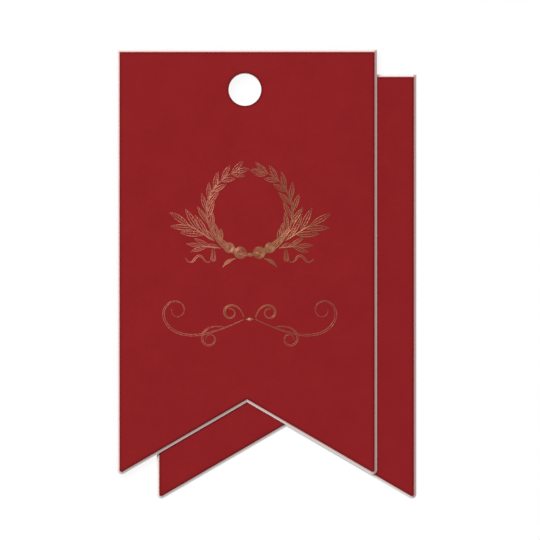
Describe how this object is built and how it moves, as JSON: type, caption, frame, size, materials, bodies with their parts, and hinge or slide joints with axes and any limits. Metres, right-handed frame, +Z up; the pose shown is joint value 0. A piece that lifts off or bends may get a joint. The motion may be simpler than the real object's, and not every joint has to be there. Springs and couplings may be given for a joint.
{
  "type": "gift tag",
  "caption": "Swallow-tailed card gift tag: a foil-stamped front leaf over a plain rear leaf that fans out on a shared punched ribbon hole, with bevelled white-cored edges.",
  "frame": {"origin": "on the ribbon hole's axis, at the underside of the rear leaf, where the tag lies on a table", "axes": "+Z up out of the printed face, +Y towards the tag's straight top edge, +X to the right as the front is read"},
  "size_m": [0.0622, 0.0933, 0.0021],
  "materials": {
    "red_cover_paper": "uncoated matt dark red paper with a faint mottle",
    "white_core_board": "uncoated white board, seen at the bevelled edges",
    "bronze_foil": "muted rose-bronze hot stamping foil, satin"
  },
  "bodies": {
    "rear_leaf": {"rear_back_paper": "red_cover_paper", "rear_core_board": "white_core_board", "rear_face_paper": "red_cover_paper"},
    "front_leaf": {"front_back_paper": "red_cover_paper", "front_core_board": "white_core_board", "front_face_paper": "red_cover_paper", "left_branch_foil": "bronze_foil", "right_branch_foil": "bronze_foil", "left_side_spray_foil": "bronze_foil", "right_side_spray_foil": "bronze_foil", "left_lower_spray_foil": "bronze_foil", "right_lower_spray_foil": "bronze_foil", "bow_knot_foil": "bronze_foil", "left_bow_loop_foil": "bronze_foil", "right_bow_loop_foil": "bronze_foil", "left_bow_tail_foil": "bronze_foil", "right_bow_tail_foil": "bronze_foil", "left_stem_wrap_foil": "bronze_foil", "right_stem_wrap_foil": "bronze_foil", "left_ribbon_fall_foil": "bronze_foil", "right_ribbon_fall_foil": "bronze_foil", "left_streamer_foil": "bronze_foil", "right_streamer_foil": "bronze_foil", "left_scroll_foil": "bronze_foil", "right_scroll_foil": "bronze_foil", "scroll_lozenge_foil": "bronze_foil"}
  },
  "joints": [
    {"name": "leaf_swivel", "type": "hinge", "parent": "rear_leaf", "child": "front_leaf", "pos_m": [0, 0, 0.001], "axis": [0, 0, 1], "continuous": true}
  ]
}
